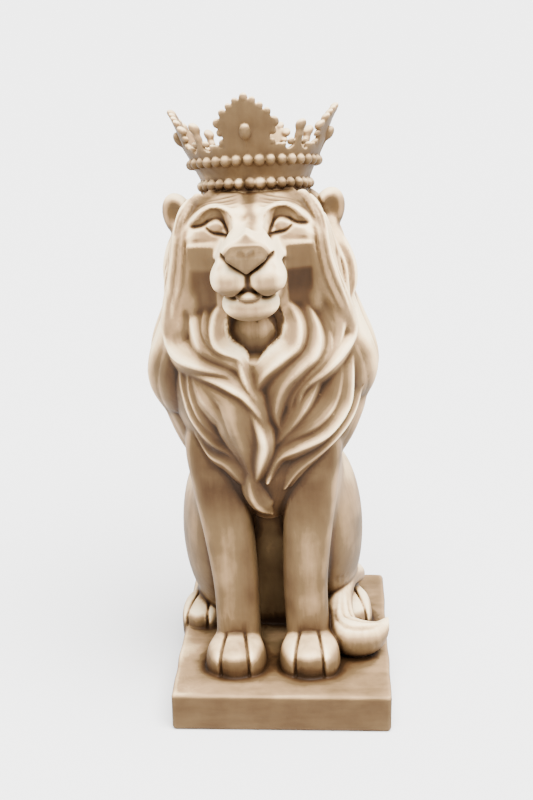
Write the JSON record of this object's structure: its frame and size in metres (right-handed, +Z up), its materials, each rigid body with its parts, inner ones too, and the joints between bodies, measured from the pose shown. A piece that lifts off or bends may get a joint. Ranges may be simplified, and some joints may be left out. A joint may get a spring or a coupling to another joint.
{
  "type": "lion sculpture",
  "caption": "Seated lion with a full mane, wearing an open beaded crown, cast in one with its rectangular plinth; a standing ornament.",
  "frame": {"origin": "middle of the plinth's flat underside", "axes": "+Z up; the lion looks along -Y; +X is at the right of someone facing it, the side with the tail's tuft"},
  "size_m": [0.1299, 0.153, 0.3324],
  "materials": {
    "antiqued_resin": "satin ivory resin with a brown antique wash in its recesses"
  },
  "bodies": {
    "root": {"crowned_lion": "antiqued_resin"}
  },
  "joints": []
}
